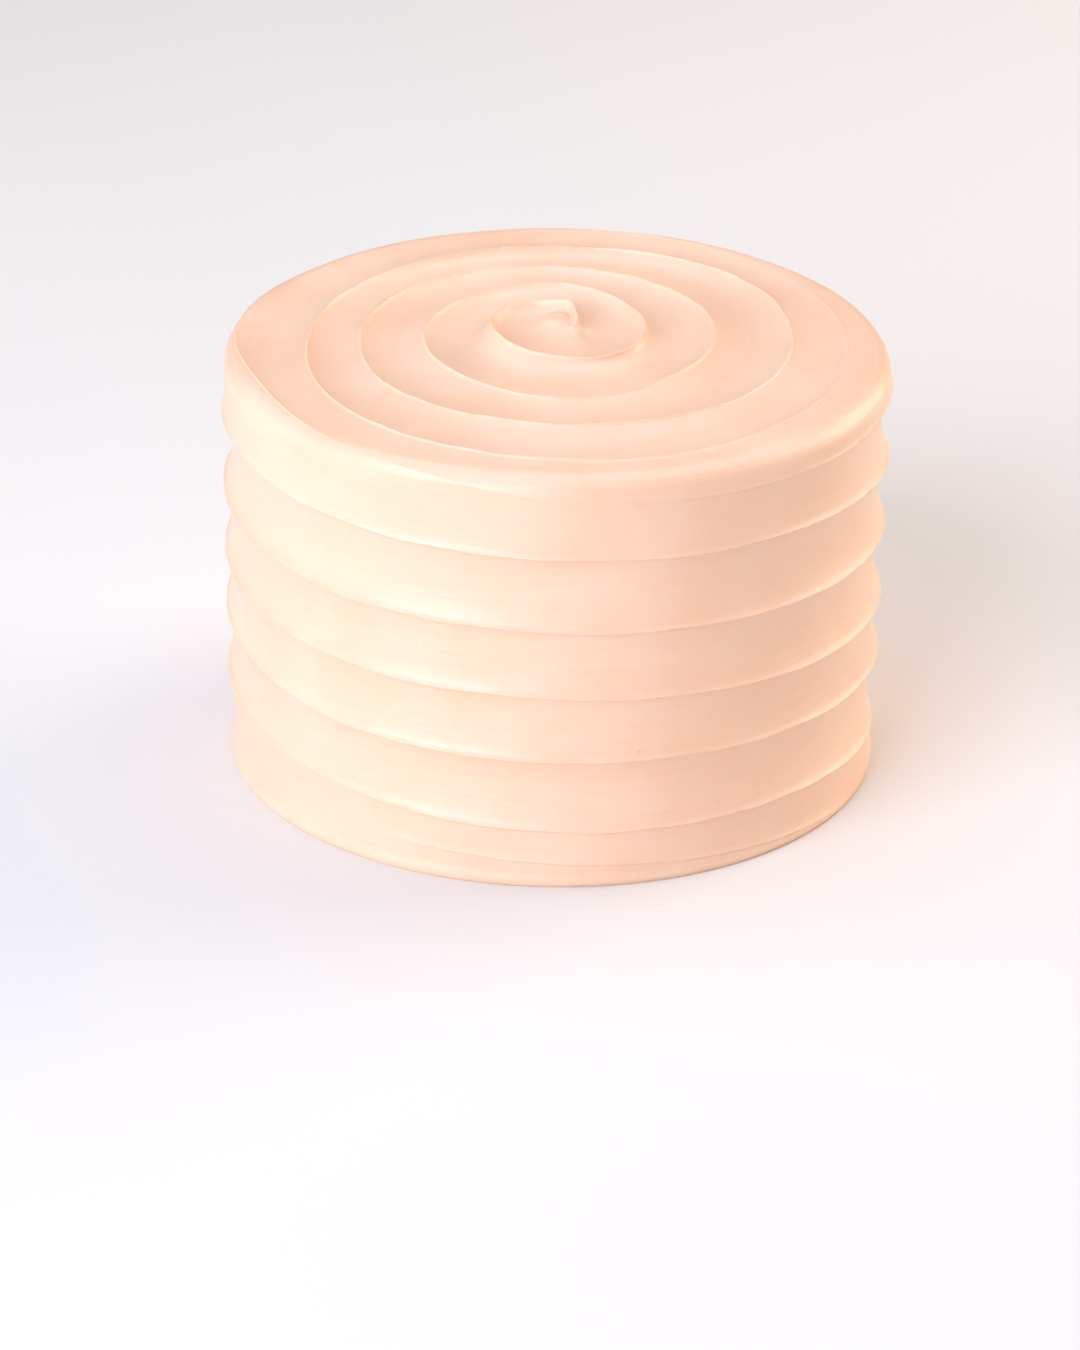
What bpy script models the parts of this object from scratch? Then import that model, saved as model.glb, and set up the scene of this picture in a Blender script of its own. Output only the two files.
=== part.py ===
"""A round cake iced in buttercream, with one spatula groove that winds up its side and in over its top.

Metres, +Z up. The origin is the middle of the flat base, and -Y is the front.
A turn value counts the spatula's turns round the cake, up the side and in over the top. A whole
number is the front, and from there a turn goes over the left, the back and the right.
"""

import math

import bmesh
import bpy
from mathutils import Vector

MM = 0.001

# Driving dimensions
BASE_RADIUS = 78.8 * MM
WALL_RADIUS = 79.3 * MM
HEIGHT = 104.0 * MM
RIM_ROUNDING = 5.5 * MM
TOP_RISE_TO_BACK = 0.034
BASE_ROUNDING = 1.0 * MM

# The spatula's tip cuts a groove of this radius between two crests, and no deeper than this
TIP_RADIUS = 19 * MM
DEEPEST_GROOVE = 2.4 * MM
GROOVE_LEFT_ON_RIM = 0.12

# Height of the crest at each eighth of a turn up the side, a turn to a line
SIDE_CREST_HEIGHTS = (
    *(6.2, 8.8, 10.0, 10.1, 10.1, 10.1, 10.3, 13.4),
    *(14.3, 17.7, 21.9, 23.7, 25.2, 26.8, 28.7, 30.6),
    *(32.0, 33.9, 38.9, 40.3, 41.4, 42.3, 43.2, 45.3),
    *(47.8, 49.3, 53.3, 55.6, 58.0, 60.0, 61.4, 62.7),
    *(63.9, 65.8, 69.6, 72.0, 74.6, 76.8, 78.4, 80.5),
    *(81.5, 84.4, 87.8, 90.0, 92.0, 94.0, 96.2, 95.4),
    97.6,
)

# Distance of the crest from the swirl's middle on the top, at each eighth of a turn and then
# at each sixteenth, and the crest's own height there
TOP_CREST_RADII = (
    *(68.2, 65.0, 58.1, 54.6, 54.8, 57.1, 55.2, 55.9),
    *(54.8, 52.6, 45.4, 38.6, 34.7, 33.9, 36.8, 40.7),
    *(44.6, 38.3, 29.7, 24.2),
)
CURL_CREST_RADII = (
    *(22.6, 20.3, 18.8, 18.5, 20.0, 22.2, 24.5, 25.1),
    *(23.2, 22.5, 20.3, 17.2, 14.2, 12.7, 10.4, 8.0),
    *(6.9, 6.7, 5.2, 4.3, 4.2, 4.9, 5.7, 4.0),
)
CURL_CREST_RISES = (
    *(0.4, 0.6, 0.8, 0.9, 1.0, 1.0, 0.7, 0.3),
    *(0.4, 1.3, 2.4, 2.4, 1.6, 1.1, 1.3, 1.8),
    *(2.1, 2.3, 2.3, 2.2, 2.0, 1.9, 0.8, 0.4),
)
SIDE_FROM, TOP_FROM, CURL_FROM = 1, 8, 10.5
SWIRL_MIDDLE = Vector((0, 12.6 * MM))
SWIRL_SHIFTED_WITHIN = 35.5 * MM
HUB_RADIUS = 2.5 * MM
HUB_RISE = 0.8 * MM
FIRST_TURN = -0.25
TURNS = 13

# How far the crest stands out of its groove at given turns: 1 is a full edge, 0 is smoothed away
CREST_STRENGTHS = (
    *((0.8, 0.0), (0.87, 0.6), (1.0, 0.6), (1.1, 0.0), (1.7, 0.0), (1.8, 1.0)),
    *((6.7, 1.0), (6.88, 0.6), (7.0, 0.1), (7.1, 0.1), (7.18, 0.7), (7.28, 0.4)),
    *((7.4, 0.0), (7.6, 0.0), (7.75, 0.2), (7.86, 0.25), (7.95, 0.9), (8.0, 1.0)),
    *((11.8, 1.0), (11.95, 0.0)),
)

# How far from the curl's lip its height fades out, on its inner side and its outer side
LIP_INNER_SPREAD = 4.0 * MM
LIP_OUTER_SPREAD = 1.8 * MM

# The torn tip where the spatula lifted off
TIP_AT = Vector((4.8 * MM, 10.2 * MM))
TIP_HEIGHT = 1.1 * MM
TIP_SPREAD = 0.8 * MM

COLUMNS = 84
GROOVE_ROWS = (0.0, 0.15, 0.4, 0.65, 0.88)
HUB_RING = 0.55

WALL_END = HEIGHT - RIM_ROUNDING
RIM_END = WALL_END + RIM_ROUNDING * math.pi / 2
TOP_FLAT_RADIUS = WALL_RADIUS - RIM_ROUNDING
CENTRE = RIM_END + TOP_FLAT_RADIUS


def smooth(low, high, value):
    """0 below low, 1 above high and an even curve between them."""
    share = min(1.0, max(0.0, (value - low) / (high - low)))
    return share * share * (3 - 2 * share)


def crest_knots():
    """(turn, way, own height) at the turns where the crest's place is given.

    A way is measured up the side, over the rim and in to the middle.
    """
    knots = [(FIRST_TURN, 0.0, 0.0), (FIRST_TURN + 1, 0.0, 0.0), (0.875, 2.7 * MM, 0.0)]
    knots += [(SIDE_FROM + i / 8, h * MM, 0.0) for i, h in enumerate(SIDE_CREST_HEIGHTS)]
    rim_shares = ((7.06, 0.4), (7.13, 0.8), (7.19, 1.08), (7.25, 0.75), (7.3, 0.5), (7.45, 0.6))
    rim = RIM_END - WALL_END
    knots += [(turn, WALL_END + share * rim, 0.0) for turn, share in rim_shares]
    near_rim = ((7.62, 72.0), (7.75, 68.0), (7.86, 68.0), (7.94, 69.4))
    knots += [(turn, CENTRE - r * MM, 0.0) for turn, r in near_rim]
    knots += [(TOP_FROM + i / 8, CENTRE - r * MM, 0.0) for i, r in enumerate(TOP_CREST_RADII)]
    curl = zip(CURL_CREST_RADII, CURL_CREST_RISES)
    knots += [(CURL_FROM + i / 16, CENTRE - r * MM, e * MM) for i, (r, e) in enumerate(curl)]
    return knots + [(turn, CENTRE - HUB_RADIUS, HUB_RISE) for turn in (TURNS - 1, TURNS + 1)]


KNOTS = crest_knots()


def through_knots(turn, column):
    """Value at this turn on a smooth curve through the knots. It stays level between equal values."""
    turn = min(max(turn, KNOTS[0][0]), KNOTS[-1][0])
    last = len(KNOTS) - 1
    k = next((i for i in range(last) if KNOTS[i + 1][0] >= turn), last - 1)
    before, start, end, after = (KNOTS[min(max(k + i, 0), last)] for i in (-1, 0, 1, 2))
    span = end[0] - start[0]
    slope0 = (end[column] - before[column]) / (end[0] - before[0])
    slope1 = (after[column] - start[column]) / (after[0] - start[0])
    if abs(end[column] - start[column]) < 0.05 * MM:
        slope0 = slope1 = 0.0
    s = (turn - start[0]) / span
    return (
        start[column] * (1 + 2 * s) * (1 - s) ** 2
        + end[column] * s * s * (3 - 2 * s)
        + span * s * (1 - s) * (slope0 * (1 - s) - slope1 * s)
    )


def crest_way(turn):
    """Where the crest is at this turn."""
    return through_knots(turn, 1)


def crest_rise(turn):
    """How high the curl lifts the crest at this turn."""
    return through_knots(turn, 2)


def crest_strength(turn):
    """How sharp the crest is at this turn, from 0 to 1."""
    if turn <= CREST_STRENGTHS[0][0]:
        return 0.0
    for (t0, a), (t1, b) in zip(CREST_STRENGTHS, CREST_STRENGTHS[1:]):
        if turn <= t1:
            return a + (b - a) * smooth(t0, t1, turn)
    return 0.0


def groove_depth(turn):
    """Depth of the groove between the crest at this turn and the one a turn further on."""
    low, high = crest_way(turn), crest_way(turn + 1)
    depth = min(DEEPEST_GROOVE, (high - low) ** 2 / (8 * TIP_RADIUS))
    middle = (low + high) / 2
    below = 1 - smooth(WALL_END - 12 * MM, WALL_END - 1 * MM, middle)
    above = smooth(RIM_END - 2 * MM, RIM_END + 7 * MM, middle)
    return depth * max(below, above, GROOVE_LEFT_ON_RIM)


def swirl_pole(radius):
    """Middle of the round line of this radius on the top: the swirl's middle lies behind the cake's."""
    return SWIRL_MIDDLE * (1 - smooth(SWIRL_SHIFTED_WITHIN, TOP_FLAT_RADIUS, radius))


def body_point(way, outward):
    """Point and outward normal on the cake before the grooves. outward is the direction seen from above."""
    if way <= WALL_END:
        undercut = BASE_ROUNDING * max(0.0, 1 - way / (2 * BASE_ROUNDING)) ** 2
        taper = (WALL_RADIUS - BASE_RADIUS) * (1 - way / WALL_END)
        flat, z = outward * (WALL_RADIUS - taper - undercut), way
        normal = Vector((*outward, 0))
    elif way <= RIM_END:
        angle = (way - WALL_END) / RIM_ROUNDING
        flat = outward * (TOP_FLAT_RADIUS + RIM_ROUNDING * math.cos(angle))
        z = WALL_END + RIM_ROUNDING * math.sin(angle)
        normal = Vector((*(outward * math.cos(angle)), math.sin(angle)))
    else:
        radius = CENTRE - way
        flat, z = swirl_pole(radius) + outward * radius, HEIGHT
        normal = Vector((0, 0, 1))
    z += TOP_RISE_TO_BACK * flat.y * smooth(0.8 * WALL_END, RIM_END, way)
    return Vector((*flat, z)), normal


def curl_rise(turn, from_low, from_high):
    """Height that the curl's lips add at these distances from the crests on either side."""
    spread = min(max(from_low + from_high, 0.01 * MM), LIP_INNER_SPREAD)
    inner = max(0.0, 1 - from_low / spread) ** 2
    outer = max(0.0, 1 - from_high / LIP_OUTER_SPREAD)
    return crest_rise(turn) * inner + crest_rise(turn + 1) * outer * (1 - inner)


def icing_point(turn, share):
    """Point on the icing, share of the way from the crest at this turn to the one a turn further on."""
    angle = 2 * math.pi * turn
    outward = Vector((-math.sin(angle), -math.cos(angle)))
    low, high = crest_way(turn), crest_way(turn + 1)
    point, normal = body_point(low + (high - low) * share, outward)
    before, depth, after = (groove_depth(turn + k) for k in (-1, 0, 1))
    low_strength, high_strength = crest_strength(turn), crest_strength(turn + 1)
    sunk_low = (1 - low_strength) * min(before, depth)
    sunk_high = (1 - high_strength) * min(depth, after)
    arc = 4 * share * (1 - share) * (low_strength + high_strength) / 2
    sunk = sunk_low * (1 - share) + sunk_high * share + depth * arc
    sunk *= smooth(0, 4 * MM, point.z)
    point -= normal * sunk
    width = max(high - low, 0.0)
    point.z += curl_rise(turn, share * width, (1 - share) * width)
    if point.z > WALL_END:
        off = (point.xy - TIP_AT).length
        point.z += TIP_HEIGHT * math.exp(-((off / TIP_SPREAD) ** 1.5))
    return point


def icing_mesh():
    """The grooves as one strip that winds from the base to the swirl's hub, closed by a base and a hub.

    The strip starts and ends where the crest has run level for a whole turn, so its ends have no width.
    """
    mesh = bmesh.new()
    rows = len(GROOVE_ROWS)
    end = round((TURNS - FIRST_TURN - 1) * COLUMNS)
    strip = []
    for i in range(end + COLUMNS + 1):
        turn = FIRST_TURN + i / COLUMNS
        shares = GROOVE_ROWS if i <= end else GROOVE_ROWS[:1]
        strip.append([mesh.verts.new(icing_point(turn, share)) for share in shares])

    def corner(i, row):
        return strip[i][row] if row < rows else strip[i + COLUMNS][0]

    for i in range(end):
        for row in range(rows):
            mesh.faces.new(
                (corner(i, row), corner(i, row + 1), corner(i + 1, row + 1), corner(i + 1, row))
            )
    add_hub(mesh, [column[0] for column in strip[end:-1]])
    centre = mesh.verts.new((0, 0, 0))
    for i in range(COLUMNS):
        mesh.faces.new((centre, strip[i][0], strip[i + 1][0]))
    bmesh.ops.remove_doubles(mesh, verts=mesh.verts, dist=0.005 * MM)
    bmesh.ops.triangulate(mesh, faces=mesh.faces)
    bmesh.ops.recalc_face_normals(mesh, faces=mesh.faces)
    return mesh


def add_hub(mesh, edge):
    """The small disc inside the swirl's last turn, with one ring between its edge and its middle."""
    middle = sum((vert.co for vert in edge), Vector()) / len(edge)
    inner = [mesh.verts.new(middle.lerp(vert.co, HUB_RING)) for vert in edge]
    centre = mesh.verts.new(middle)
    for i in range(len(edge)):
        after = (i + 1) % len(edge)
        mesh.faces.new((edge[i], edge[after], inner[after], inner[i]))
        mesh.faces.new((inner[i], inner[after], centre))


def buttercream():
    """Peach buttercream, smooth and slightly glossy."""
    material = bpy.data.materials.new("peach_buttercream")
    material.use_nodes = True
    shader = material.node_tree.nodes["Principled BSDF"]
    shader.inputs["Base Color"].default_value = (0.93, 0.69, 0.52, 1)
    shader.inputs["Roughness"].default_value = 0.45
    shader.inputs["Metallic"].default_value = 0.0
    return material


def make_cake():
    mesh = icing_mesh()
    data = bpy.data.meshes.new("cake")
    mesh.to_mesh(data)
    mesh.free()
    data.shade_smooth()
    data.set_sharp_from_angle(angle=math.radians(25))
    data.materials.append(buttercream())
    cake = bpy.data.objects.new("cake", data)
    bpy.context.scene.collection.objects.link(cake)


for leftover in list(bpy.data.objects):
    bpy.data.objects.remove(leftover)
make_cake()
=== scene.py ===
"""A buttercream cake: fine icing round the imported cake, with a floor, soft light and a camera.

Metres, +Z up, -Y is the front. A turn value counts the spatula's turns round the cake, up the side
and in over the top. A whole number is the front, and from there a turn goes over the left, the back
and the right. A way is measured up the side, over the rim and in to the top's middle.
"""

import math

import bmesh
import bpy
import numpy as np
from mathutils import Matrix, Vector, noise


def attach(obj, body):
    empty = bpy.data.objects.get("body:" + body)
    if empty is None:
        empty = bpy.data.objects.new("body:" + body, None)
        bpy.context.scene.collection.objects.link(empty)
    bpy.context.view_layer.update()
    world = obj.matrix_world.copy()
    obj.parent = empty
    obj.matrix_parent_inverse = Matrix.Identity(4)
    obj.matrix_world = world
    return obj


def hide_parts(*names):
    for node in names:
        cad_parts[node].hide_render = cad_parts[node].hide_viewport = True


MM = 0.001

# The cake's body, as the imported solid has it
BASE_RADIUS = 78.8 * MM
WALL_RADIUS = 79.3 * MM
HEIGHT = 104.0 * MM
RIM_ROUNDING = 5.5 * MM
TOP_RISE_TO_BACK = 0.034
BASE_ROUNDING = 1.0 * MM

# The groove between two crests: how deep it may be, and how it fades out and returns over the rim
TIP_RADIUS = 19 * MM
DEEPEST_GROOVE = 2.1 * MM
GROOVE_LEFT_ON_RIM = 0.12
GROOVE_FADES_BELOW_RIM = (12 * MM, 1 * MM)
GROOVE_RETURNS_ABOVE_RIM = (-2 * MM, 7 * MM)
GROOVE_STARTS_WITHIN = 4 * MM

# Height of the crest at each eighth of a turn up the side, a turn to a line
SIDE_CREST_HEIGHTS = (
    *(6.2, 8.8, 10.0, 10.1, 10.1, 10.1, 10.3, 13.4),
    *(14.3, 17.7, 21.9, 23.7, 25.2, 26.8, 28.7, 30.6),
    *(32.0, 33.9, 38.9, 40.3, 41.4, 42.3, 43.2, 45.3),
    *(47.8, 49.3, 53.3, 55.6, 58.0, 60.0, 61.4, 62.7),
    *(63.9, 65.8, 69.6, 72.0, 74.6, 76.8, 78.4, 80.5),
    *(81.5, 84.4, 87.8, 90.0, 92.0, 94.0, 96.2, 95.4),
    97.6,
)

# Distance of the crest from the swirl's middle on the top, at each eighth of a turn and then
# at each sixteenth, and the crest's own height there
TOP_CREST_RADII = (
    *(68.2, 65.0, 58.1, 54.6, 54.8, 57.1, 55.2, 55.9),
    *(54.8, 52.6, 45.4, 38.6, 34.7, 33.9, 36.8, 40.7),
    *(44.6, 38.3, 29.7, 24.2),
)
CURL_CREST_RADII = (
    *(22.6, 20.3, 18.8, 18.5, 20.0, 22.2, 24.5, 25.1),
    *(23.2, 22.5, 20.3, 17.2, 14.2, 12.7, 10.4, 8.0),
    *(6.9, 6.7, 5.2, 4.3, 4.2, 4.9, 5.7, 4.0),
)
CURL_CREST_RISES = (
    *(0.4, 0.6, 0.8, 0.9, 1.0, 1.0, 0.7, 0.3),
    *(0.4, 1.3, 2.4, 2.4, 1.6, 1.1, 1.3, 1.8),
    *(2.1, 2.3, 2.3, 2.2, 2.0, 1.9, 0.8, 0.4),
)
SIDE_FROM, TOP_FROM, CURL_FROM = 1, 8, 10.5
SWIRL_MIDDLE = np.array([0, 12.6 * MM])
SWIRL_SHIFTED_WITHIN = 35.5 * MM
HUB_RADIUS = 2.5 * MM
HUB_RISE = 1.2 * MM
FIRST_TURN = -0.25
TURNS = 13

# How far the crest stands out of its groove at given turns: 1 is a full edge, 0 is smoothed away
CREST_STRENGTHS = (
    *((0.8, 0.0), (0.87, 0.6), (1.0, 0.6), (1.1, 0.0), (1.7, 0.0), (1.8, 1.0)),
    *((6.7, 1.0), (6.88, 0.6), (7.0, 0.1), (7.1, 0.1), (7.18, 0.7), (7.28, 0.4)),
    *((7.4, 0.0), (7.6, 0.0), (7.75, 0.2), (7.86, 0.25), (7.95, 0.9), (8.0, 1.0)),
    *((11.8, 1.0), (11.95, 0.0)),
)

# How far the curl's lip leans out to its foot at given turns
LIP_FEET = (
    *((10.9, 0.8), (11.0, 0.8), (11.06, 2.9), (11.12, 3.2), (11.19, 2.0), (11.3, 0.9)),
    *((11.6, 0.6), (11.8, 0.6), (12.0, 3.0)),
)
LIP_INNER_SPREAD = 4.0 * MM

# The torn tip where the spatula lifted off, and the shallow valley that runs from it to the front
TIP_AT = np.array([4.8, 10.2]) * MM
TIP_HEIGHT = 1.1 * MM
TIP_SPREAD = 0.55 * MM
TIP_REACH = 25 * MM
VALLEY_FROM = np.array([6.2, 9.0]) * MM
VALLEY_TO = np.array([12.2, -3.5]) * MM
VALLEY_DEPTH = 0.5 * MM
VALLEY_WIDTH = 1.8 * MM

# The thin lip on a crest, and the rows of the mesh on either side of it
LIP_HEIGHT = 0.6 * MM
LIP_ABOVE = 0.6 * MM
LIP_BELOW = 0.16 * MM
LIP_UNEVENNESS = 0.45
ROWS_ABOVE_CREST = [d * MM for d in (0, 0.14, 0.3, 0.55, 1.0, 1.8)]
ROWS_BELOW_CREST = [d * MM for d in (3.2, 2.2, 1.4, 0.85, 0.45, 0.22, 0.1)]
ROWS_BETWEEN = 6
COLUMNS = 384
HUB_RINGS = (0.8, 0.6, 0.4, 0.2)
WELD_WITHIN = 0.002 * MM

# How the crest wanders, in steps of so many to a turn, until it steadies on the way to the curl,
# and how the whole surface waves
WANDER = ((31, 0.22 * MM), (83, 0.12 * MM))
STEADY_TURNS = (9.0, 10.6)
LIP_STEPS = 71
NICK_STEPS = 160
NICK_ABOVE = 0.8
LIP_SEED, NICK_SEED = 4, 5
WAVE_DEPTH = 0.16 * MM
WAVE_LENGTH = 22 * MM
STREAK_DEPTH = 0.035 * MM
STREAK_WIDTH = 1.7 * MM
STREAK_LENGTH = 60 * MM

# The icing's colours and the sizes of its fine grain, in the material
ICING_DEEP = (0.94, 0.59, 0.4, 1)
ICING_PALE = (0.96, 0.64, 0.46, 1)
MOTTLE_SHARE = 0.65
TONE_RANGE = (0.38, 0.62)
GLOSS_FROM_TONE = {"From_Min": 0.3, "From_Max": 0.7, "To_Min": 0.36, "To_Max": 0.5}
GLOW_REACH = 1.1 * MM
MOTTLE_SIZE = 24 * MM
GRAIN_SIZE = 0.8 * MM
GRAIN_WIDTH = 0.7 * MM
GRAIN_LENGTH = 30 * MM
PIT_SPACING = 9 * MM
PIT_SHARE = 0.04
STREAK_BUMP = 0.09 * MM
GRAIN_BUMP = 0.03 * MM
PIT_BUMP = 0.2 * MM

WALL_END = HEIGHT - RIM_ROUNDING
RIM_END = WALL_END + RIM_ROUNDING * math.pi / 2
TOP_FLAT_RADIUS = WALL_RADIUS - RIM_ROUNDING
CENTRE = RIM_END + TOP_FLAT_RADIUS

# The camera, as it was found to fit the photograph
CAMERA_LENS = 106.7
CAMERA_PITCH = math.radians(25.35)
CAMERA_ROLL = math.radians(0.94)
CAMERA_DISTANCE = 0.9757
CAMERA_TARGET = Vector((-2.9, 0, 16.6)) * MM

# Lights as (name, azimuth, elevation, size, watts, colour): a cool window at the front left, and
# warmer light from the right. The ambient light and the floor's colour follow.
LIGHT_DISTANCE = 1.6
LIGHTS = (
    ("window", -36, 28, 1.2, 27.0, (0.91, 1.0, 1.2)),
    ("left", -90, 20, 1.2, 4.3, (0.88, 1.0, 1.14)),
    ("behind", 116, 22, 1.2, 18.0, (1.2, 1.0, 0.82)),
    ("above", 180, 75, 1.6, 11.5, (0.9, 1.0, 1.2)),
)
WORLD_COLOUR = (1.18, 1.0, 0.86, 1)
WORLD_STRENGTH = 0.17
FLOOR_REACH = 4.0
FLOOR_COLOUR = (0.795, 0.77, 0.74, 1)


def smooth(low, high, value):
    """0 below low, 1 above high and an even curve between them."""
    share = np.clip((value - low) / (high - low), 0, 1)
    return share * share * (3 - 2 * share)


def crest_knots():
    """(turn, way, own height) at the turns where the crest's place is given."""
    knots = [(FIRST_TURN, 0.0, 0.0), (FIRST_TURN + 1, 0.0, 0.0), (0.875, 2.7 * MM, 0.0)]
    knots += [(SIDE_FROM + i / 8, h * MM, 0.0) for i, h in enumerate(SIDE_CREST_HEIGHTS)]
    rim_shares = ((7.06, 0.4), (7.13, 0.8), (7.19, 1.08), (7.25, 0.75), (7.3, 0.5), (7.45, 0.6))
    rim = RIM_END - WALL_END
    knots += [(turn, WALL_END + share * rim, 0.0) for turn, share in rim_shares]
    near_rim = ((7.62, 72.0), (7.75, 68.0), (7.86, 68.0), (7.94, 69.4))
    knots += [(turn, CENTRE - r * MM, 0.0) for turn, r in near_rim]
    knots += [(TOP_FROM + i / 8, CENTRE - r * MM, 0.0) for i, r in enumerate(TOP_CREST_RADII)]
    curl = zip(CURL_CREST_RADII, CURL_CREST_RISES)
    knots += [(CURL_FROM + i / 16, CENTRE - r * MM, e * MM) for i, (r, e) in enumerate(curl)]
    return knots + [(turn, CENTRE - HUB_RADIUS, HUB_RISE) for turn in (TURNS - 1, TURNS + 1)]


KNOTS = np.array(crest_knots())


def through_knots(turn, values):
    """Values at these turns on a smooth curve through the knots. It stays level between equal values."""
    turns = KNOTS[:, 0]
    turn = np.clip(turn, turns[0], turns[-1])
    k = np.clip(np.searchsorted(turns, turn) - 1, 0, len(turns) - 2)
    before, after = np.maximum(k - 1, 0), np.minimum(k + 2, len(turns) - 1)
    span = turns[k + 1] - turns[k]
    slope0 = (values[k + 1] - values[before]) / (turns[k + 1] - turns[before])
    slope1 = (values[after] - values[k]) / (turns[after] - turns[k])
    level = abs(values[k + 1] - values[k]) < 0.05 * MM
    slope0 = np.where(level, 0, slope0)
    slope1 = np.where(level, 0, slope1)
    s = (turn - turns[k]) / span
    return (
        values[k] * (1 + 2 * s) * (1 - s) ** 2
        + values[k + 1] * s * s * (3 - 2 * s)
        + span * s * (1 - s) * (slope0 * (1 - s) - slope1 * s)
    )


def uneven(turn, steps, seed):
    """Even curves through seeded random values from -1 to 1, so many to a turn."""
    values = np.random.default_rng(seed).uniform(-1, 1, steps * (TURNS + 2))
    place = np.maximum(turn - FIRST_TURN, 0) * steps
    k = np.minimum(place.astype(int), len(values) - 2)
    return values[k] + (values[k + 1] - values[k]) * smooth(0, 1, place - k)


def crest_way(turn):
    """Where the crest is at these turns, with the small wander of a hand's work."""
    wander = sum(size * uneven(turn, steps, steps) for steps, size in WANDER)
    steady = 1 - smooth(*STEADY_TURNS, turn)
    return through_knots(turn, KNOTS[:, 1]) + wander * steady * crest_strength(turn)


def crest_rise(turn):
    """How high the curl lifts the crest at these turns."""
    return through_knots(turn, KNOTS[:, 2])


def at_turns(turn, table):
    """Values at these turns from a table of (turn, value) pairs, with even curves between them."""
    turns, values = np.array(table).T
    k = np.clip(np.searchsorted(turns, turn) - 1, 0, len(turns) - 2)
    return values[k] + (values[k + 1] - values[k]) * smooth(turns[k], turns[k + 1], turn)


def crest_strength(turn):
    """How sharp the crest is at these turns, from 0 to 1."""
    return at_turns(turn, CREST_STRENGTHS)


def groove_depth(turn):
    """Depth of the groove between the crest at these turns and the one a turn further on."""
    low, high = crest_way(turn), crest_way(turn + 1)
    depth = np.minimum(DEEPEST_GROOVE, (high - low) ** 2 / (8 * TIP_RADIUS))
    middle = (low + high) / 2
    below = 1 - smooth(*(WALL_END - d for d in GROOVE_FADES_BELOW_RIM), middle)
    above = smooth(*(RIM_END + d for d in GROOVE_RETURNS_ABOVE_RIM), middle)
    return depth * np.maximum(np.maximum(below, above), GROOVE_LEFT_ON_RIM)


def body_points(way, outward):
    """Points and outward normals on the cake before the grooves."""
    angle = np.clip((way - WALL_END) / RIM_ROUNDING, 0, math.pi / 2)
    undercut = BASE_ROUNDING * np.clip(1 - way / (2 * BASE_ROUNDING), 0, 1) ** 2
    taper = (WALL_RADIUS - BASE_RADIUS) * np.clip(1 - way / WALL_END, 0, 1)
    radius = np.where(way > RIM_END, CENTRE - way, TOP_FLAT_RADIUS + RIM_ROUNDING * np.cos(angle))
    radius = radius - undercut - taper
    to_middle = 1 - smooth(SWIRL_SHIFTED_WITHIN, TOP_FLAT_RADIUS, radius)
    to_middle = np.where(way > RIM_END, to_middle, 0)
    flat = outward * radius[..., None] + SWIRL_MIDDLE * to_middle[..., None]
    z = np.minimum(way, WALL_END) + RIM_ROUNDING * np.sin(angle)
    z = z + TOP_RISE_TO_BACK * flat[..., 1] * smooth(0.8 * WALL_END, RIM_END, way)
    normals = np.concatenate(
        [outward * np.cos(angle)[..., None], np.sin(angle)[..., None]], axis=-1
    )
    return np.concatenate([flat, z[..., None]], axis=-1), normals


def curl_rise(turn, from_low, from_high):
    """Height that the curl's lips add at these distances from the crests on either side."""
    spread = np.clip(from_low + from_high, 0.01 * MM, LIP_INNER_SPREAD)
    inner = np.clip(1 - from_low / spread, 0, 1) ** 2
    outer = np.clip(1 - from_high / (at_turns(turn + 1, LIP_FEET) * MM), 0, 1)
    return crest_rise(turn) * inner + crest_rise(turn + 1) * outer * (1 - inner)


def tip_and_valley(flat):
    """Height that the torn tip adds, less the valley's depth, at these places on the top."""
    off = np.linalg.norm(flat - TIP_AT, axis=-1)
    tip = TIP_HEIGHT * np.exp(-((off / TIP_SPREAD) ** 1.5))
    along = VALLEY_TO - VALLEY_FROM
    share = np.clip((flat - VALLEY_FROM) @ along / (along @ along), 0, 1)
    off = np.linalg.norm(flat - VALLEY_FROM - along * share[..., None], axis=-1)
    valley = VALLEY_DEPTH * np.exp(-((off / VALLEY_WIDTH) ** 2)) * (1 - share) ** 0.5
    return tip - valley


def band_shares(width):
    """Shares of the way across a groove for the mesh's rows, close together beside the crests."""
    tight = np.minimum(1, width / (8 * MM))[:, None]
    above = np.array(ROWS_ABOVE_CREST) * tight / np.maximum(width, 1e-6)[:, None]
    below = 1 - np.array(ROWS_BELOW_CREST) * tight / np.maximum(width, 1e-6)[:, None]
    mix = np.arange(1, ROWS_BETWEEN + 1) / (ROWS_BETWEEN + 1)
    between = above[:, -1:] + (below[:, :1] - above[:, -1:]) * mix
    return np.concatenate([above, between, below], axis=1)


def lip(turn):
    """How much of the thin lip stands on the crest at these turns, less where it is nicked."""
    free = 1 - smooth(*STEADY_TURNS, turn)
    nicked = free * smooth(NICK_ABOVE, 1, uneven(turn, NICK_STEPS, NICK_SEED))
    full = 1 - free * LIP_UNEVENNESS * (1 + uneven(turn, LIP_STEPS, LIP_SEED)) / 2
    return crest_strength(turn) * full * (1 - nicked)


def lip_drop(turn, from_low, from_high):
    """How far the surface is below the thin lips' edge at these distances from the crests."""
    low = lip(turn) * np.exp(-((from_low / LIP_ABOVE) ** 1.5))
    high = lip(turn + 1) * np.exp(-((from_high / LIP_BELOW) ** 1.5))
    return LIP_HEIGHT * (1 - low - high)


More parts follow.
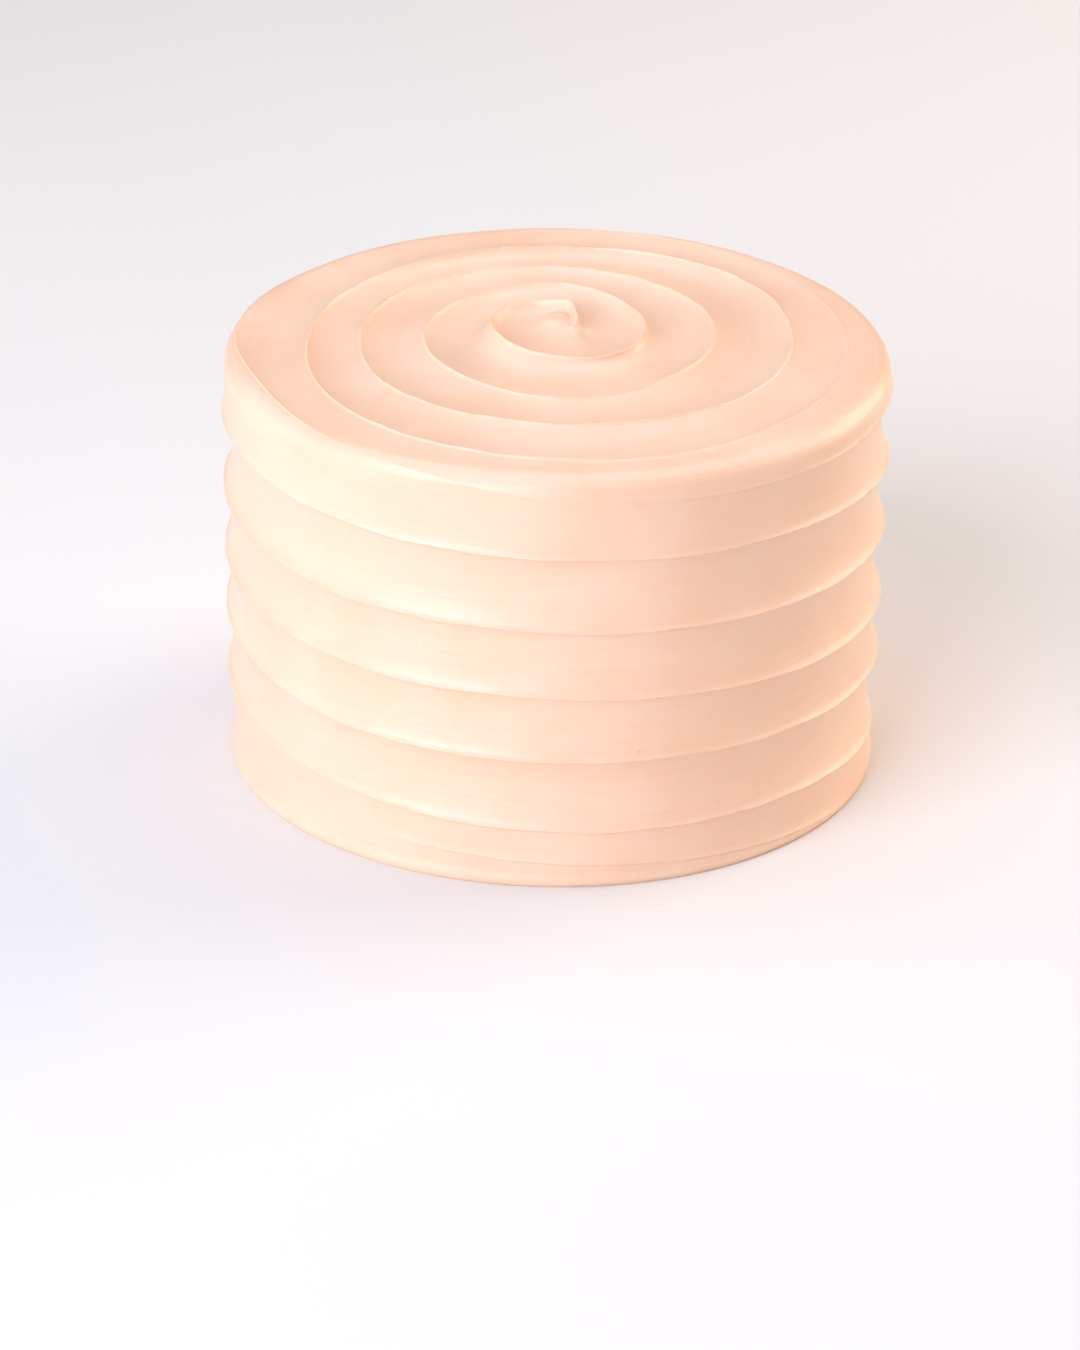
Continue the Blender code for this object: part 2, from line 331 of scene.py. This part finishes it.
def waves(points, way):
    """Depth of the soft waves and of the spatula's fine streaks along the groove."""
    soft = [noise.noise(Vector(p) / WAVE_LENGTH) for p in points.reshape(-1, 3)]
    flat = points.reshape(-1, 3)[:, :2] / STREAK_LENGTH
    across = way.ravel() / STREAK_WIDTH
    streaks = [noise.noise(Vector((*p, w))) for p, w in zip(flat, across)]
    depth = WAVE_DEPTH * (1 + np.array(soft)) + STREAK_DEPTH * (1 + np.array(streaks))
    return depth.reshape(way.shape)


def icing_points(turn, share):
    """Points on the icing, and their ways, at arrays of turns and shares of the way across."""
    angle = 2 * math.pi * turn
    outward = np.stack([-np.sin(angle), -np.cos(angle)], axis=-1)
    low, high = crest_way(turn), crest_way(turn + 1)
    way = low + (high - low) * share
    points, normals = body_points(way, outward)
    width = np.maximum(high - low, 0)
    from_low, from_high = share * width, (1 - share) * width
    before, depth, after = (groove_depth(turn + k) for k in (-1, 0, 1))
    low_strength, high_strength = crest_strength(turn), crest_strength(turn + 1)
    sunk_low = (1 - low_strength) * np.minimum(before, depth)
    sunk_high = (1 - high_strength) * np.minimum(depth, after)
    arc = 4 * share * (1 - share) * (low_strength + high_strength) / 2
    sunk = sunk_low * (1 - share) + sunk_high * share + depth * arc
    sunk = sunk + lip_drop(turn, from_low, from_high) + waves(points, way)
    points = points - normals * (sunk * smooth(0, GROOVE_STARTS_WITHIN, points[..., 2]))[..., None]
    points[..., 2] += curl_rise(turn, from_low, from_high)
    near = np.linalg.norm(points[..., :2] - TIP_AT, axis=-1) < TIP_REACH
    points[..., 2] += np.where(near & (points[..., 2] > WALL_END), tip_and_valley(points[..., :2]), 0)
    return points, way


def icing_mesh():
    """One strip that winds from the base to the swirl's hub, closed by a base and a hub."""
    end = round((TURNS - FIRST_TURN - 1) * COLUMNS)
    turns = FIRST_TURN + np.arange(end + COLUMNS + 1) / COLUMNS
    width = crest_way(turns + 1) - crest_way(turns)
    shares = band_shares(width[: end + 1])
    rows = shares.shape[1]
    grid, grid_way = icing_points(np.repeat(turns[: end + 1, None], rows, axis=1), shares)
    last, last_way = icing_points(turns[end + 1 :], np.zeros(COLUMNS))
    verts = np.concatenate([grid.reshape(-1, 3), last, [[0, 0, 0]]])
    centre = len(verts) - 1

    def corner(i, row):
        inside = i * rows + row
        above = i + COLUMNS
        beyond = np.where(above <= end, above * rows, (end + 1) * rows + above - end - 1)
        return np.where(row < rows, inside, beyond)

    i, row = (a.ravel() for a in np.meshgrid(np.arange(end), np.arange(rows), indexing="ij"))
    quads = np.stack(
        [corner(i, row), corner(i + 1, row), corner(i + 1, row + 1), corner(i, row + 1)], axis=-1
    )
    faces = quads.tolist()
    foot = [j * rows for j in range(COLUMNS + 1)]
    faces += [(centre, foot[j + 1], foot[j]) for j in range(COLUMNS)]
    edge = [end * rows, *range((end + 1) * rows, (end + 1) * rows + COLUMNS - 1)]
    rings = hub_points(verts[edge])
    faces += hub_faces(edge, len(verts))
    ways = np.concatenate([grid_way.ravel(), last_way, [0], np.full(len(rings), CENTRE)])
    mesh = bpy.data.meshes.new("icing")
    mesh.from_pydata(np.concatenate([verts, rings]).tolist(), [], faces)
    mesh.attributes.new("way", "FLOAT", "POINT").data.foreach_set("value", ways)
    weld(mesh)
    return mesh


def hub_points(edge):
    """Rings of points from the edge of the swirl's hub in to its middle."""
    middle = body_points(np.array([CENTRE]), np.array([[0.0, -1.0]]))[0][0]
    middle[2] = edge[:, 2].mean()
    return np.concatenate([middle + (edge - middle) * share for share in HUB_RINGS] + [[middle]])


def hub_faces(edge, first):
    """Faces that fill the hub, where its rings' points start at number first."""
    faces = []
    outer = edge
    for ring in range(len(HUB_RINGS)):
        inner = [first + ring * COLUMNS + j for j in range(COLUMNS)]
        for j in range(COLUMNS):
            after = (j + 1) % COLUMNS
            faces.append((outer[j], outer[after], inner[after], inner[j]))
        outer = inner
    tip = first + len(HUB_RINGS) * COLUMNS
    return faces + [(outer[j], outer[(j + 1) % COLUMNS], tip) for j in range(COLUMNS)]


def weld(mesh):
    """Joins the points that meet where the strip has no width, and turns all faces outwards."""
    edit = bmesh.new()
    edit.from_mesh(mesh)
    bmesh.ops.remove_doubles(edit, verts=edit.verts, dist=WELD_WITHIN)
    bmesh.ops.recalc_face_normals(edit, faces=edit.faces)
    edit.to_mesh(mesh)
    edit.free()


def make_floor():
    mesh = bpy.data.meshes.new("floor")
    corners = [(x * FLOOR_REACH, y * FLOOR_REACH, 0) for x, y in ((-1, -1), (1, -1), (1, 1), (-1, 1))]
    mesh.from_pydata(corners, [], [(0, 1, 2, 3)])
    floor = bpy.data.objects.new("floor", mesh)
    bpy.context.scene.collection.objects.link(floor)
    material = bpy.data.materials.new("plain_floor")
    material.use_nodes = True
    shader = material.node_tree.nodes["Principled BSDF"]
    shader.inputs["Base Color"].default_value = FLOOR_COLOUR
    shader.inputs["Roughness"].default_value = 0.9
    mesh.materials.append(material)


def area_light(name, azimuth, elevation, size, power, colour):
    """A soft square light. Azimuth is from the front, and more than 0 is to the right."""
    data = bpy.data.lights.new(name, "AREA")
    data.shape = "SQUARE"
    data.size = size
    data.energy = power
    data.color = colour
    light = bpy.data.objects.new(name, data)
    a, e = math.radians(azimuth), math.radians(elevation)
    back = Vector((math.sin(a) * math.cos(e), -math.cos(a) * math.cos(e), math.sin(e)))
    light.location = Vector((0, 0, HEIGHT / 2)) + back * LIGHT_DISTANCE
    light.rotation_euler = back.to_track_quat("Z", "Y").to_euler()
    bpy.context.scene.collection.objects.link(light)


def make_camera():
    data = bpy.data.cameras.new("camera")
    data.lens = CAMERA_LENS
    data.sensor_width = 36
    camera = bpy.data.objects.new("camera", data)
    bpy.context.scene.collection.objects.link(camera)
    forward = Vector((0, math.cos(CAMERA_PITCH), -math.sin(CAMERA_PITCH)))
    turn = Matrix.Rotation(math.pi / 2 - CAMERA_PITCH, 4, "X") @ Matrix.Rotation(CAMERA_ROLL, 4, "Z")
    camera.matrix_world = Matrix.Translation(CAMERA_TARGET - forward * CAMERA_DISTANCE) @ turn
    bpy.context.scene.camera = camera


def icing_material():
    """Peach buttercream: mottled colour, fine streaks along the groove, pits of tiny air bubbles."""
    material = bpy.data.materials.new("peach_icing")
    material.use_nodes = True
    tree = material.node_tree
    shader = tree.nodes["Principled BSDF"]
    shader.inputs["Subsurface Weight"].default_value = 0.4
    shader.inputs["Subsurface Radius"].default_value = (1.0, 0.45, 0.25)
    shader.inputs["Subsurface Scale"].default_value = GLOW_REACH
    shader.inputs["Coat Weight"].default_value = 0.3
    shader.inputs["Coat Roughness"].default_value = 0.3

    def node(kind, **inputs):
        made = tree.nodes.new(kind)
        for name, value in inputs.items():
            made.inputs[name.replace("_", " ")].default_value = value
        return made

    def join(source, output, target, entry):
        tree.links.new(source.outputs[output], target.inputs[entry])

    def math_node(operation, first, second):
        made = node("ShaderNodeMath")
        made.operation = operation
        for entry, value in enumerate((first, second)):
            if isinstance(value, (int, float)):
                made.inputs[entry].default_value = value
            else:
                tree.links.new(value, made.inputs[entry])
        return made.outputs[0]

    def noise_node(size, detail, vector):
        made = node("ShaderNodeTexNoise", Scale=1 / size, Detail=detail, Roughness=0.6)
        tree.links.new(vector, made.inputs["Vector"])
        return made.outputs[0]

    def bumped(height, depth, before):
        made = node("ShaderNodeBump", Strength=1, Distance=depth)
        tree.links.new(height, made.inputs["Height"])
        if before:
            join(before, "Normal", made, "Normal")
        return made

    place = node("ShaderNodeTexCoord").outputs["Object"]
    apart = node("ShaderNodeSeparateXYZ")
    tree.links.new(place, apart.inputs[0])
    way = node("ShaderNodeAttribute")
    way.attribute_name = "way"
    along = node("ShaderNodeCombineXYZ")
    tree.links.new(math_node("DIVIDE", apart.outputs["X"], GRAIN_LENGTH), along.inputs["X"])
    tree.links.new(math_node("DIVIDE", apart.outputs["Y"], GRAIN_LENGTH), along.inputs["Y"])
    tree.links.new(math_node("DIVIDE", way.outputs["Fac"], GRAIN_WIDTH), along.inputs["Z"])

    streaks = noise_node(1, 3, along.outputs[0])
    mottle = noise_node(MOTTLE_SIZE, 3, place)
    grain = noise_node(GRAIN_SIZE, 2, place)
    cells = node("ShaderNodeTexVoronoi", Scale=1 / PIT_SPACING)
    tree.links.new(place, cells.inputs["Vector"])
    pits = math_node("MINIMUM", math_node("DIVIDE", cells.outputs["Distance"], PIT_SHARE), 1.0)

    from_mottle = math_node("MULTIPLY", mottle, MOTTLE_SHARE)
    from_streaks = math_node("MULTIPLY", streaks, 1 - MOTTLE_SHARE)
    tone = math_node("ADD", from_mottle, from_streaks)
    colours = node("ShaderNodeValToRGB")
    deep, pale = colours.color_ramp.elements
    deep.position, pale.position = TONE_RANGE
    deep.color, pale.color = ICING_DEEP, ICING_PALE
    tree.links.new(tone, colours.inputs[0])
    join(colours, "Color", shader, "Base Color")

    gloss = node("ShaderNodeMapRange", **GLOSS_FROM_TONE)
    tree.links.new(tone, gloss.inputs["Value"])
    join(gloss, "Result", shader, "Roughness")

    bumps = bumped(streaks, STREAK_BUMP, None)
    bumps = bumped(grain, GRAIN_BUMP, bumps)
    bumps = bumped(pits, PIT_BUMP, bumps)
    join(bumps, "Normal", shader, "Normal")
    return material


def make_icing():
    mesh = icing_mesh()
    mesh.materials.append(icing_material())
    icing = bpy.data.objects.new("buttercream_icing", mesh)
    bpy.context.scene.collection.objects.link(icing)
    bpy.context.view_layer.objects.active = icing
    mesh.shade_smooth()
    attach(icing, "root")
    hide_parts("cake")


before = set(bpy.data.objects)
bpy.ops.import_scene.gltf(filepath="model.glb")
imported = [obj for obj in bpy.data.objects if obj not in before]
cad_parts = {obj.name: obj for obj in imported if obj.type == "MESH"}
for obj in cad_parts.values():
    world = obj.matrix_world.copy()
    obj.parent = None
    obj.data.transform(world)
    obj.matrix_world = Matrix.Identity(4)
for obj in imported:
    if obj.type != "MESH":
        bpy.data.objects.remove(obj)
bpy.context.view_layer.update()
make_icing()
make_floor()
for light in LIGHTS:
    area_light(*light)
world = bpy.data.worlds.new("world")
world.use_nodes = True
world.node_tree.nodes["Background"].inputs["Color"].default_value = WORLD_COLOUR
world.node_tree.nodes["Background"].inputs["Strength"].default_value = WORLD_STRENGTH
bpy.context.scene.world = world
bpy.context.scene.view_settings.view_transform = "Standard"
make_camera()
